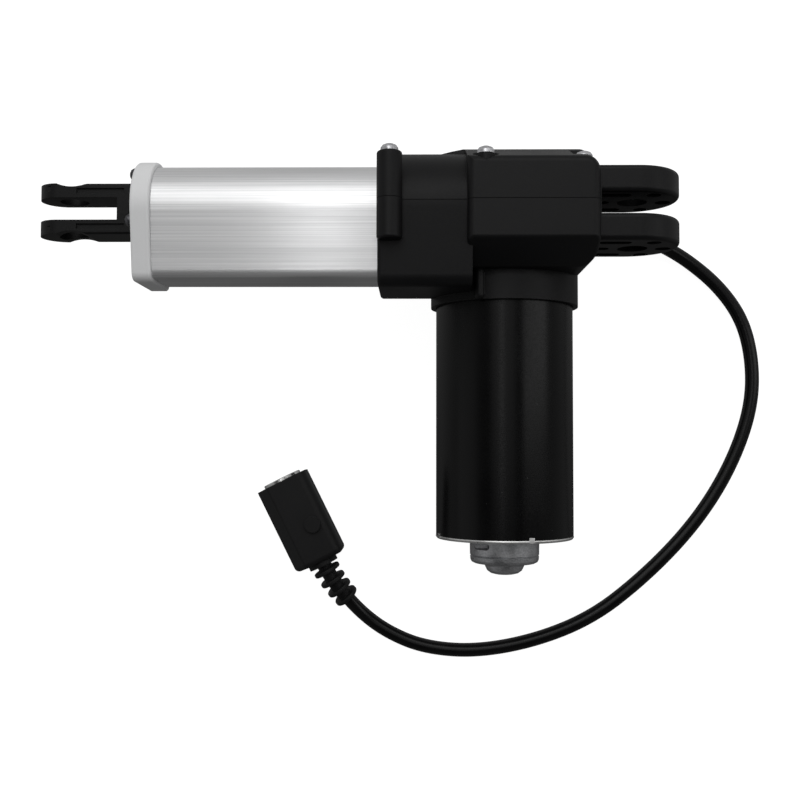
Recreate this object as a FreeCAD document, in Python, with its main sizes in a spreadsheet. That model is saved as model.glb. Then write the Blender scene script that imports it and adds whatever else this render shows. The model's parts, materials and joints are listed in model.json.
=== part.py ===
import FreeCAD, Part
import math
import os
import re
import Sketcher
from FreeCAD import Placement, Rotation, Vector

# Linear actuator, retracted, lying on its side.
# Origin: centre of the rear pin hole. The rod leaves along -X, the motor hangs along -Y,
# both pins run along Y, and +Z is up from the surface that the actuator lies on.

DIMENSIONS = {
    # motion
    "lead": 6, "wheel_teeth": 28,
    # the surface that the actuator and its cable lie on
    "floor_z": -56.3,
    # running and fitting gaps
    "gap": 0.05, "loose": 0.3, "press": 0.02,
    # aluminium profile: an arch about the spindle on two leaning sides and a flat bottom
    "tube_front": -203, "tube_back": -70, "tube_arch": 18.9, "tube_foot": 15.2,
    "tube_flat": -29.5, "tube_corner": 3.4, "tube_wall": 2.2,
    "port_ring": 16.3, "port_boss": 2.8, "port_hole": 1.6,
    "rail_top": -15.4, "rail_bottom": -17.4, "rail_gap": 6.3,
    # end cap, and the bush behind it
    "cap_front": -206.2, "cap_back": -198.3, "cap_arch": 20.9, "cap_foot": 16.5,
    "cap_flat": -31.2, "cap_corner": 4, "cap_round": 1, "cap_bore": 13, "cap_screw_head": 3,
    "guide_back": -187,
    # front socket of the housing
    "socket_front": -106.1, "socket_back": -68, "socket_arch": 24, "socket_foot": 21.2,
    "socket_flat": -34, "socket_corner": 5,
    # gear case
    "case_left": -70.2, "case_right": -17.3, "case_near": 26.5, "case_shoulder": 16.8,
    "case_knee": -15.3, "case_belly": -25, "case_belly_z": 12, "case_crown": 25.6,
    "case_crown_z": 5, "case_wall": 2.8, "case_top_round": 6, "case_edge_round": 1.6,
    "case_side_round": 3, "case_low_round": 7, "room_left": -65.2,
    "bay_left": -81.8, "bay_top": 18.6, "bay_z": -33, "bay_wall": 2.5,
    # screw columns of the housing
    "boss_x": -101.2, "boss_z": 25.2, "boss_rad": 5.1, "boss_low": -16.2, "boss_round": 1,
    "seat_y": 18.9, "screw_rad": 1.9, "screw_end": -13, "screw_head_rad": 3.55,
    "screw_head_high": 3, "mid_screw_x": -62.7, "mid_screw_z": 21.5,
    "mid_post_rad": 3.4, "bowl_low": 14.5, "bowl_rad": 4.7,
    "motor_screw_z": 15, "motor_screw": 1.45,
    "end_screw_x": -22.3, "end_screw_z": 14, "bay_screw_x": -75.6, "bay_screw_z": -47,
    # rear clevis
    "lug_half": 19.8, "lug_tip_x": -0.6, "lug_out": 15.3, "lug_in": 4.2, "lug_slot_x": -16.2,
    "lug_root": -32.8, "lug_round": 1.9, "pit_floor": 3.2, "pit_deep": 8, "pit_side": 12.8,
    "pin_hole": 6.25, "collar_front": -30.8, "collar_back": -25, "collar_high": 18.4,
    "collar_half": 14.5,
    # fork
    "fork_hole_x": -235, "fork_hole": 6, "fork_tip": -248.9, "fork_slot_x": -214.6,
    "fork_in": 4.6, "fork_out": 10.6, "fork_half": 9, "fork_root": -208.7, "fork_collar": 12,
    "fork_collar_back": -206.6, "spigot_end": -187, "fork_dish": 16, "fork_dish_rise": 14.7,
    # push tube and nut
    "rod_out": 10, "rod_in": 8.2, "rod_back": -96, "nut_front": -101, "nut_back": -77,
    "nut_rad": 12.9, "key_half": 6, "key_low": -15.8, "fork_pin_x": -196, "fork_pin": 1.5,
    # spindle
    "thread_rad": 7, "thread_root": 5.2, "thread_front": -182.5, "thread_back": -66,
    "journal": 6, "spindle_back": -27.6, "shoulder_back": -62, "shoulder_rad": 8,
    "wheel_front": -57.6, "wheel_back": -45.6,
    "wheel_rad": 17.2, "wheel_root": 15, "bearing_front": -43, "bearing_back": -33,
    "bearing_out": 16, "bearing_in": 6, "ball_ring": 11, "ball_rad": 2.78,
    # motor
    "motor_x": -51.6, "motor_z": -24, "can_rad": 30, "can_top": -31, "can_end": -136.9,
    "can_wall": 1.8, "ring_rad": 32.3, "ring_low": -37.3, "ring_top": -22, "ring_bore": 30.2,
    "plate_low": -138.2, "end_boss_rad": 15.2, "end_boss_low": -149, "end_step_rad": 8.6,
    "end_step_low": -154, "shaft_rad": 3, "shaft_top": 19.5, "shaft_low": -147,
    "core_rad": 21.5, "core_top": -52, "core_low": -104, "worm_rad": 6.5, "worm_root": 4.2,
    "worm_high": 13, "worm_pitch": 3.93, "magnet_in": 22.3,
    "card_low": -126, "card_top": -123.6, "brush_top": -118, "commutator_top": -114,
    "commutator_rad": 9, "motor_bush": 5, "low_bush": 4.6,
    # boards
    "strip_left": -190, "strip_right": -72, "strip_low": -25.8, "strip_top": -24.2,
    "switch_high": -17.8, "front_switch": -178, "back_switch": -84, "board_z": -49.4,
    # cable and connector
    "cable_rad": 3.15, "exit_x": 3, "exit_z": -47, "plug_rear_x": -133.8,
    "plug_rear_y": -151.2, "plug_z": -46.8, "plug_angle": 116.54, "plug_long": 41,
    "plug_left": 12.6, "plug_right": -11.9, "plug_high": 9.5, "plug_chamfer": 5.6,
    "plug_side": 3.2, "button_high": 1.5, "button_rad": 3.65, "button_along": 17,
    "button_across": -4.6, "shield_rad": 9, "plug_depth": 8,
}

# The cable's route, from the boot on the housing to the sleeve on the connector.
CABLE_ROUTE = [
    (3, 0, -47), (13, 0, -47), (25, -4, -50.6), (38, -11, -53.15), (52, -23, -53.15),
    (62.5, -38, -53.15), (67, -56, -53.15), (67, -76, -53.15), (61, -97, -53.15),
    (50, -119, -53.15), (35, -139.5, -53.15), (14.5, -160, -53.15), (-8, -177.5, -53.15),
    (-34, -188.3, -53.15), (-62, -193.7, -53.15), (-86, -192, -53.15), (-103, -185.3, -53.15),
    (-116.4, -175.7, -53.15), (-122.3, -168.3, -50.3),
]

document = FreeCAD.newDocument("linear_actuator")
sheet = document.addObject("Spreadsheet::Sheet", "Dims")
for row, (alias, value) in enumerate(DIMENSIONS.items(), start=1):
    sheet.set(f"A{row}", str(value))
    sheet.setAlias(f"A{row}", alias)
document.recompute()

pieces = []


# ---- helpers -------------------------------------------------------------------------

def dim(alias):
    """One driving dimension, as a number."""
    return float(sheet.get(alias))


def formula(text):
    """An expression on the sheet, from one that uses bare dimension names."""
    return re.sub(r"[A-Za-z_]\w*", lambda word: "Dims." + word.group(), str(text))


def value_of(text):
    """The number that such an expression gives now."""
    numbers = re.sub(r"[A-Za-z_]\w*", lambda word: str(dim(word.group())), str(text))
    return FreeCAD.Units.Quantity(numbers).Value


def bind(item, prop, text):
    item.setExpression(prop, formula(text))


def place(item, base, rotation=Rotation()):
    """Puts an object at a point that is bound to the sheet."""
    item.Placement = Placement(Vector(*(value_of(text) for text in base)), rotation)
    for axis, text in zip("xyz", base):
        bind(item, f"Placement.Base.{axis}", text)


def piece(item, label):
    """Marks an object as a sub-part; its label names its file."""
    item.Label = label
    pieces.append(item)
    return item


def origin_plane(body, role):
    return next(item for item in body.Origin.OriginFeatures if item.Role == role)


def new_sketch(body, name, role):
    sketch = body.newObject("Sketcher::SketchObject", name)
    sketch.AttachmentSupport = [(origin_plane(body, role), "")]
    sketch.MapMode = "FlatFace"
    return sketch


def draw_outline(sketch, outline):
    """A closed outline of straight lines, each corner bound to the sheet."""
    corners = [Vector(value_of(across), value_of(up), 0) for across, up in outline]
    count = len(corners)
    ends = [(corners[index], corners[(index + 1) % count]) for index in range(count)]
    first = sketch.addGeometry([Part.LineSegment(*pair) for pair in ends])[0]
    for index, (across, up) in enumerate(outline):
        line = first + index
        follower = first + (index + 1) % count
        sketch.addConstraint(Sketcher.Constraint("Coincident", line, 2, follower, 1))
        for kind, text, number in (("DistanceX", across, corners[index].x),
                                   ("DistanceY", up, corners[index].y)):
            rule = sketch.addConstraint(Sketcher.Constraint(kind, -1, 1, line, 1, number))
            sketch.setExpression(f"Constraints[{rule}]", formula(text))


def turned(name, base, outline, rotation=Rotation()):
    """A body turned about its own X axis, from (along, radius) corners."""
    body = document.addObject("PartDesign::Body", name)
    sketch = new_sketch(body, name + "_profile", "XY_Plane")
    draw_outline(sketch, outline)
    turn = body.newObject("PartDesign::Revolution", name + "_turn")
    turn.Profile = sketch
    turn.ReferenceAxis = (sketch, ["H_Axis"])
    turn.Angle = 360
    place(body, base, rotation)
    return body


ABOUT_Y = Rotation(Vector(0, 0, 1), 90)
PADS = {"X": ("YZ_Plane", False), "Y": ("XZ_Plane", True), "Z": ("XY_Plane", False)}


def prism(name, axis, base, outline, length, rotation=Rotation()):
    """A body padded along an axis, from corners in the other two axes."""
    role, backwards = PADS[axis]
    body = document.addObject("PartDesign::Body", name)
    sketch = new_sketch(body, name + "_outline", role)
    draw_outline(sketch, outline)
    pad = body.newObject("PartDesign::Pad", name + "_pad")
    pad.Profile = sketch
    pad.Reversed = backwards
    bind(pad, "Length", length)
    place(body, base, rotation)
    return body


def arch_prism(name, start, length, arch, foot, flat, corner):
    """A body padded along X: an arch about the X axis, leaning sides, a flat bottom."""
    radius, half, low, bend = (value_of(text) for text in (arch, foot, flat, corner))
    body = document.addObject("PartDesign::Body", name)
    sketch = new_sketch(body, name + "_outline", "YZ_Plane")
    reach = math.hypot(half, low + bend)
    lean = math.acos(radius / reach) - math.atan2(-(low + bend), half)
    touch = Vector(radius * math.sin(lean), radius * math.cos(lean), 0)
    foot_y = low + bend * (1 + math.sin(lean))
    foot_z = half
    middle_z = foot_z - bend * math.cos(lean)
    arc = Part.ArcOfCircle
    circle = Part.Circle
    up = Vector(0, 0, 1)
    turn = math.pi / 2
    # The sketch's own X is the row's Y, and its Y is the row's Z.
    shapes = [
        arc(circle(Vector(0, 0, 0), up, radius), lean - turn, turn - lean),
        Part.LineSegment(touch, Vector(foot_y, foot_z, 0)),
        arc(circle(Vector(low + bend, middle_z, 0), up, bend), turn - lean, math.pi),
        Part.LineSegment(Vector(low, middle_z, 0), Vector(low, -middle_z, 0)),
        arc(circle(Vector(low + bend, -middle_z, 0), up, bend), math.pi, 3 * turn + lean),
        Part.LineSegment(Vector(foot_y, -foot_z, 0), Vector(touch.x, -touch.y, 0)),
    ]
    sketch.addGeometry(shapes)
    rule = Sketcher.Constraint
    sketch.addConstraint([
        rule("Coincident", 0, 3, -1, 1),
        rule("Tangent", 0, 2, 1, 1), rule("Tangent", 1, 2, 2, 1),
        rule("Tangent", 2, 2, 3, 1), rule("Tangent", 3, 2, 4, 1),
        rule("Tangent", 4, 2, 5, 1), rule("Tangent", 5, 2, 0, 1),
        rule("Equal", 2, 4), rule("Vertical", 3),
    ])
    bound = [
        (rule("Radius", 0, radius), arch),
        (rule("Radius", 2, bend), corner),
        (rule("DistanceX", -1, 1, 3, 1, low), flat),
        (rule("DistanceY", -1, 1, 1, 2, foot_z), foot),
        (rule("DistanceY", -1, 1, 5, 1, -foot_z), f"-({foot})"),
    ]
    for constraint, text in bound:
        index = sketch.addConstraint(constraint)
        sketch.setExpression(f"Constraints[{index}]", formula(text))
    pad = body.newObject("PartDesign::Pad", name + "_pad")
    pad.Profile = sketch
    bind(pad, "Length", length)
    place(body, (start, "0", "0"))
    return body


def block(name, x, y, z):
    """A box between two bounds along each axis."""
    box = document.addObject("Part::Box", name)
    for prop, (low, high) in zip(("Length", "Width", "Height"), (x, y, z)):
        bind(box, prop, f"({high}) - ({low})")
    place(box, (x[0], y[0], z[0]))
    return box


POINTING = {"X": Rotation(Vector(0, 1, 0), 90), "Y": Rotation(Vector(1, 0, 0), -90),
            "Z": Rotation()}


def cylinder(name, axis, base, length, radius):
    item = document.addObject("Part::Cylinder", name)
    bind(item, "Radius", radius)
    bind(item, "Height", length)
    place(item, base, POINTING[axis])
    return item


def cone(name, axis, base, length, radius, far_radius):
    item = document.addObject("Part::Cone", name)
    bind(item, "Radius1", radius)
    bind(item, "Radius2", far_radius)
    bind(item, "Height", length)
    place(item, base, POINTING[axis])
    return item


def ball(name, centre, radius):
    item = document.addObject("Part::Sphere", name)
    bind(item, "Radius", radius)
    place(item, centre)
    return item


def fuse(name, *items):
    item = document.addObject("Part::MultiFuse", name)
    item.Shapes = list(items)
    return item


def cut(name, base, *tools):
    """Takes one or more tools away from a base."""
    item = document.addObject("Part::Cut", name)
    item.Base = base
    item.Tool = tools[0] if len(tools) == 1 else fuse(name + "_tools", *tools)
    return item


def common(name, base, tool):
    item = document.addObject("Part::Common", name)
    item.Base = base
    item.Tool = tool
    return item


def group(name, items):
    item = document.addObject("Part::Compound", name)
    item.Links = list(items)
    return item


def round_edges(body, radius, wanted):
    """Fillets the edges of a body's last feature that a test picks."""
    document.recompute()
    tip = body.Tip
    names = [f"Edge{index}" for index, edge in enumerate(tip.Shape.Edges, start=1)
             if wanted(edge)]
    fillet = body.newObject("PartDesign::Fillet", f"{body.Name}_round{len(body.Group)}")
    fillet.Base = (tip, names)
    fillet.Radius = value_of(radius)
    bind(fillet, "Radius", radius)
    body.Tip = fillet
    return fillet


def runs_along(edge, axis):
    """True for a straight edge parallel to an axis, in the body's own frame."""
    if edge.Curve.TypeId != "Part::GeomLine":
        return False
    return abs(edge.Curve.Direction.dot(axis)) > 0.999


def middle(edge):
    return edge.CenterOfMass


ALONG_X, ALONG_Y, ALONG_Z = Vector(1, 0, 0), Vector(0, 1, 0), Vector(0, 0, 1)


# ---- housing: one outer form, split at y = 0 ------------------------------------------

def housing_form():
    """The outer form of both half shells."""
    socket = arch_prism("socket", "socket_front", "socket_back - socket_front",
                        "socket_arch", "socket_foot", "socket_flat", "socket_corner")
    round_edges(socket, "case_edge_round",
                lambda edge: abs(middle(edge).x) < 0.01 and not runs_along(edge, ALONG_X))
    ring = cylinder("collar", "Y", ("motor_x", "ring_low", "motor_z"),
                    "ring_top - ring_low", "ring_rad")
    ramp = prism("ramp", "Z", ("0", "0", "-14"), [
        ("-82", "20"), ("-80.6", "socket_arch - 0.6"), ("-76", "socket_arch + 0.6"),
        ("-71", "case_crown"), ("-66", "case_crown"), ("-66", "20"),
    ], "19")
    forms = [socket, gear_case(), bay(), ring, ramp]
    for side, mark in (("boss_z", "near"), ("-boss_z", "far")):
        boss = turned(f"boss_{mark}", ("boss_x", "0", side), [
            ("boss_low", "0"), ("boss_low", "boss_rad"), ("seat_y", "boss_rad"),
            ("seat_y", "0"),
        ], ABOUT_Y)
        round_edges(boss, "boss_round", lambda edge: edge.Curve.TypeId == "Part::GeomCircle")
        forms.append(boss)
    forms.append(cylinder("ring_rib", "Y", ("-64.2", "-35.5", "5.4"), "14", "2.2"))
    forms.append(ball("ring_rib_end", ("-64.2", "-35.5", "5.4"), "2.2"))
    return fuse("housing_outside", *forms)


def gear_case():
    """The block around the worm wheel, with a sloping top and a belly that steps back."""
    case = prism("case", "X", ("case_left", "0", "0"), [
        ("case_shoulder", "case_near"), ("case_knee", "case_near"),
        ("case_belly", "case_belly_z"), ("case_belly", "bay_z"),
        ("case_crown", "bay_z"), ("case_crown", "case_crown_z"),
    ], "case_right - case_left")
    length = dim("case_right") - dim("case_left")
    near, shoulder = dim("case_near"), dim("case_shoulder")
    round_edges(case, "case_top_round", lambda edge: (
        abs(middle(edge).x - length) < 0.01 and middle(edge).y > shoulder
        and middle(edge).z > dim("case_crown_z")))
    round_edges(case, "case_low_round", lambda edge: (
        runs_along(edge, ALONG_Z) and abs(middle(edge).x - length) < 0.01
        and abs(middle(edge).y - dim("case_belly")) < 0.01))
    round_edges(case, "case_side_round", lambda edge: (
        runs_along(edge, ALONG_Y) and abs(middle(edge).z - near) < 0.01))
    round_edges(case, "case_edge_round", lambda edge: (
        runs_along(edge, ALONG_X) and middle(edge).z > dim("case_belly_z") - 1))
    return case


def bay():
    """The wiring bay beside the gear case, down to the table."""
    body = prism("bay", "Z", ("0", "0", "floor_z"), [
        ("bay_left", "case_belly"), ("case_right", "case_belly"), ("case_right", "bay_top"),
        ("bay_left", "bay_top"),
    ], "bay_z - floor_z")
    round_edges(body, "case_low_round", lambda edge: (
        runs_along(edge, ALONG_Z) and abs(middle(edge).x - dim("case_right")) < 0.01
        and middle(edge).y < 0))
    return body


SCREWS = [("near_front", "boss_x", "boss_z"), ("far_front", "boss_x", "-boss_z"),
          ("near_mid", "mid_screw_x", "mid_screw_z"), ("bay", "bay_screw_x", "bay_screw_z"),
          ("near_end", "end_screw_x", "end_screw_z"),
          ("far_end", "end_screw_x", "-end_screw_z")]
MOTOR_SCREWS = [("near", "motor_z + motor_screw_z"), ("far", "motor_z - motor_screw_z")]


def gear_room():
    """The room around the worm wheel, clear of the pad that carries the middle screw."""
    room = prism("gear_room_blank", "X", ("room_left", "0", "0"), [
        ("case_shoulder - 2.4", "case_near - case_wall"),
        ("case_knee + 1.2", "case_near - case_wall"),
        ("case_belly + case_wall", "case_belly_z - 1.4"), ("case_belly + case_wall", "bay_z"),
        ("case_crown - case_wall", "bay_z"), ("case_crown - case_wall", "case_crown_z - 1"),
    ], "bearing_front - room_left")
    pads = [block("pad_low", ("room_left - 1", "wheel_front - 0.6"), ("8", "case_crown"),
                  ("14", "case_near")),
            block("pad_high", ("room_left - 1", "wheel_front + 4"), ("12", "case_crown"),
                  ("18", "case_near"))]
    return cut("gear_room", room, *pads)


def housing_hollows():
    """What is taken out of the housing's outer form."""
    pocket = arch_prism("profile_pocket", "socket_front - 1", "tube_back - socket_front + 1",
                        "tube_arch + gap", "tube_foot + gap", "tube_flat - gap", "tube_corner")
    hollows = [
        gear_room(), pocket,
        cylinder("spindle_way", "X", ("tube_back - 1", "0", "0"), "12", "9"),
        cylinder("bearing_seat", "X", ("bearing_front - 1", "0", "0"),
                 "bearing_back - bearing_front + 1.2", "bearing_out + gap"),
        block("clevis_window", ("lug_root - gap", "case_right + 1"),
              ("-lug_out - gap", "lug_out + gap"), ("-lug_half - gap", "lug_half + gap")),
        block("clevis_groove", ("collar_front - gap", "collar_back + gap"),
              ("-collar_high - gap", "collar_high + gap"),
              ("-collar_half - gap", "collar_half + gap")),
        cylinder("can_socket", "Y", ("motor_x", "ring_low - 1", "motor_z"),
                 "can_top - ring_low + 1", "ring_bore"),
        cylinder("shaft_way", "Y", ("motor_x", "can_top - 1", "motor_z"), "12", "8.2"),
        block("bay_room", ("bay_screw_x + 5", "case_right - bay_wall"),
              ("case_belly + case_low_round", "bay_top - bay_wall"),
              ("floor_z + bay_wall", "bay_z - bay_wall")),
        cylinder("lead_way", "Z", ("-38", "-12", "bay_z - bay_wall - 1"), "8", "3"),
        cylinder("grommet_way", "X", ("case_right - 6", "0", "exit_z"), "7", "5.05"),
        cylinder("grommet_groove", "X", ("case_right - bay_wall - 2", "0", "exit_z"), "2.4",
                 "6.55"),
        cone("screw_bowl", "Y", ("mid_screw_x", "bowl_low", "mid_screw_z"), "11.5",
             "bowl_rad", "bowl_rad + 2"),
        block("end_seat", ("end_screw_x - 5.5", "case_right + 1"), ("seat_y", "case_crown + 1"),
              ("end_screw_z - 4.6", "end_screw_z + 16")),
        cylinder("end_seat_far", "Y", ("end_screw_x", "seat_y", "-end_screw_z"), "12", "4.6"),
    ]
    for mark, side in MOTOR_SCREWS:
        hollows.append(cylinder(f"motor_hole_{mark}", "Y", ("motor_x", "can_top - 1", side),
                                "case_belly + case_wall - can_top + 2", "motor_screw + gap"))
        hollows.append(cylinder(f"motor_head_{mark}", "Y",
                                ("motor_x", "case_belly + case_wall", side), "5", "3.2"))
    for mark, across, up in SCREWS:
        hollows.append(cylinder(f"hole_{mark}", "Y", (across, "screw_end - 1", up),
                                "seat_y - screw_end + 1", "screw_rad + gap"))
    return hollows


def housing():
    """Both half shells, with the posts that stand inside the gear room."""
    shell = cut("housing_hollowed", housing_form(), *housing_hollows())
    posts = [
        cylinder("mid_post", "Y", ("mid_screw_x", "screw_end - 2", "mid_screw_z"),
                 "seat_y - screw_end + 2", "mid_post_rad"),
        cylinder("tip_post", "Y", ("motor_x", "shaft_top - 6.5", "motor_z"),
                 "case_crown - shaft_top + 5", "7"),
    ]
    post_holes = [
        cylinder("mid_post_hole", "Y", ("mid_screw_x", "screw_end - 1", "mid_screw_z"), "40",
                 "screw_rad + gap"),
        cylinder("tip_post_hole", "Y", ("motor_x", "shaft_top - 7", "motor_z"), "7.6",
                 "motor_bush + gap"),
    ]
    whole = cut("housing_whole", fuse("housing_posted", shell, *posts), *post_holes)
    for name, side in (("upper", ("0", "40")), ("lower", ("-60", "0"))):
        space = block(f"{name}_space", ("-120", "0"), side, ("-70", "40"))
        piece(common(f"{name}_half", whole, space), f"housing_{name}")


def pan_screw(name, base, axis_turn, shank, head_rad, head_high, reach):
    """A pan-head screw with a cross recess, along its own X axis: shank back, head front."""
    return turned(name, base, [
        (f"-({reach})", "0"), (f"-({reach}) + 1", shank), ("0", shank), ("0", head_rad),
        (f"({head_high}) * 0.45", head_rad), (f"({head_high}) * 0.8", f"({head_rad}) * 0.8"),
        (head_high, f"({head_rad}) * 0.42"), (head_high, f"({head_rad}) * 0.3"),
        (f"({head_high}) * 0.55", f"({head_rad}) * 0.12"), (f"({head_high}) * 0.55", "0"),
    ], axis_turn)


def housing_screws():
    screws = [pan_screw(f"screw_{mark}", (across, "seat_y", up), ABOUT_Y, "screw_rad",
                        "screw_head_rad", "screw_head_high", "seat_y - screw_end")
              for mark, across, up in SCREWS]
    piece(group("housing_screw_set", screws), "housing_screws")


# ---- rear clevis ----------------------------------------------------------------------

def rear_clevis():
    body = block("clevis_body", ("lug_root", "lug_tip_x"), ("-lug_out", "lug_out"),
                 ("-lug_half", "lug_half"))
    tip = cylinder("clevis_tip", "Y", ("lug_tip_x", "-lug_out", "0"), "lug_out * 2", "lug_half")
    flange = block("clevis_flange", ("collar_front", "collar_back"),
                   ("-collar_high", "collar_high"), ("-collar_half", "collar_half"))
    cuts = [
        block("clevis_slot", ("lug_slot_x", "lug_half + lug_tip_x + 1"), ("-lug_in", "lug_in"),
              ("-lug_half - 1", "lug_half + 1")),
        cylinder("clevis_hole", "Y", ("0", "-lug_out - 1", "0"), "lug_out * 2 + 2", "pin_hole"),
        cylinder("nut_room", "X", ("lug_root - 1", "0", "0"), "8", "9.6"),
    ]
    for mark, across, up in SCREWS[-2:]:
        cuts.append(cylinder(f"clevis_{mark}", "Y", (across, "-lug_out - 1", up),
                             "lug_out * 2 + 2", "screw_rad + loose"))
    round_pockets = [("6.2", "pit_side", "3"), ("6.2", "-pit_side", "3"), ("12.7", "0", "3.3")]
    long_pockets = [("-14", "-5.4", "pit_side", "2.6"), ("-14", "-5.4", "-pit_side", "2.6"),
                    ("-13.4", "-12.4", "0", "2.7")]
    for tongue, floor in (("upper", "pit_floor"), ("lower", "-lug_out - 1")):
        for index, (across, up, radius) in enumerate(round_pockets):
            cuts.append(cylinder(f"{tongue}_pit{index}", "Y", (across, floor, up), "pit_deep",
                                 radius))
        for index, (left, right, up, half) in enumerate(long_pockets):
            name = f"{tongue}_slot{index}"
            cuts.append(block(name, (left, right), (floor, f"{floor} + pit_deep"),
                              (f"{up} - {half}", f"{up} + {half}")))
            for mark, end in (("start", left), ("end", right)):
                cuts.append(cylinder(f"{name}_{mark}", "Y", (end, floor, up), "pit_deep", half))
    whole = cut("clevis_cut", fuse("clevis_form", body, tip, flange), *cuts)
    document.recompute()
    rounded = document.addObject("Part::Fillet", "clevis_rounded")
    rounded.Base = whole
    radius, half = dim("lug_round"), dim("lug_half")
    picked = []
    for index, edge in enumerate(whole.Shape.Edges, start=1):
        level = abs(middle(edge).y)
        on_face = min(abs(level - dim("lug_out")), abs(level - dim("lug_in"))) < 0.01
        curve = edge.Curve
        arc = curve.TypeId == "Part::GeomCircle" and abs(curve.Radius - half) < 0.01
        side = runs_along(edge, ALONG_X) and abs(abs(middle(edge).z) - half) < 0.01
        if on_face and (arc or side):
            picked.append((index, radius, radius))
    rounded.Edges = picked
    piece(rounded, "rear_clevis")


# ---- tube, cap and what sits in them ---------------------------------------------------

PORT_ANGLES = (60, 120, -23, 203)


def port_place(angle):
    """Centre of a screw port, as expressions in Y and Z."""
    return (f"port_ring * {math.sin(math.radians(angle)):.4f}",
            f"port_ring * {math.cos(math.radians(angle)):.4f}")


def tube_profile():
    length = "tube_back - tube_front"
    outside = arch_prism("tube_outside", "tube_front", length, "tube_arch", "tube_foot",
                         "tube_flat", "tube_corner")
    inside = arch_prism("tube_inside", "tube_front - 1", length + " + 2",
                        "tube_arch - tube_wall", "tube_foot - tube_wall",
                        "tube_flat + tube_wall", "tube_corner / 2")
    additions, holes = [], []
    for index, angle in enumerate(PORT_ANGLES):
        up, near = port_place(angle)
        additions.append(cylinder(f"port{index}", "X", ("tube_front", up, near), length,
                                  "port_boss"))
        holes.append(cylinder(f"port_hole{index}", "X", ("tube_front - 1", up, near),
                              length + " + 2", "port_hole"))
    for mark, bounds in (("near", ("rail_gap", "tube_arch - 1.6")),
                         ("far", ("1.6 - tube_arch", "-rail_gap"))):
        additions.append(block(f"rail_{mark}", ("tube_front", "tube_back"),
                               ("rail_bottom", "rail_top"), bounds))
    hollow = cut("tube_hollow", outside, inside)
    ribbed = fuse("tube_ribbed", hollow, common("tube_ribs", fuse("tube_additions", *additions),
                                                outside))
    piece(cut("tube_bored", ribbed, *holes), "tube_profile")


def end_cap():
    cap = arch_prism("cap_outside", "cap_front", "cap_back - cap_front", "cap_arch", "cap_foot",
                     "cap_flat", "cap_corner")
    round_edges(cap, "cap_round", lambda edge: not runs_along(edge, ALONG_X))
    recess = arch_prism("cap_recess", "tube_front", "10", "tube_arch + gap", "tube_foot + gap",
                        "tube_flat - gap", "tube_corner")
    holes = [cylinder("cap_rod_hole", "X", ("cap_front - 1", "0", "0"), "12", "cap_bore")]
    for index, angle in enumerate(PORT_ANGLES):
        up, near = port_place(angle)
        holes.append(cylinder(f"cap_screw_hole{index}", "X", ("cap_front - 1", up, near), "12",
                              "port_hole + gap"))
    piece(cut("cap_bored", cap, recess, *holes), "end_cap")
    screws = []
    facing_out = Rotation(Vector(0, 0, 1), 180)
    for index, angle in enumerate(PORT_ANGLES):
        up, near = port_place(angle)
        screws.append(pan_screw(f"cap_screw{index}", ("cap_front", up, near), facing_out,
                                "port_hole - gap", "2.8", "cap_screw_head", "14"))
    piece(group("cap_screw_set", screws), "cap_screws")


def bush_and_wiper():
    inner, outer = "rod_out + gap", "cap_bore - gap"
    rim = "port_ring - port_boss - gap"
    piece(turned("guide", ("0", "0", "0"), [
        ("tube_front + gap", inner), ("tube_front + gap", rim), ("guide_back", rim),
        ("guide_back", inner),
    ]), "guide_bush")
    piece(turned("wiper", ("0", "0", "0"), [
        ("cap_front + 0.2", outer), ("cap_front + 0.2", "rod_out + 1.4"),
        ("cap_front + 1.2", inner), ("cap_front + 2", "rod_out + 1.2"),
        ("tube_front - 0.5", inner), ("tube_front", inner), ("tube_front", outer),
    ]), "rod_wiper")


# ---- rod ------------------------------------------------------------------------------

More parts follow.
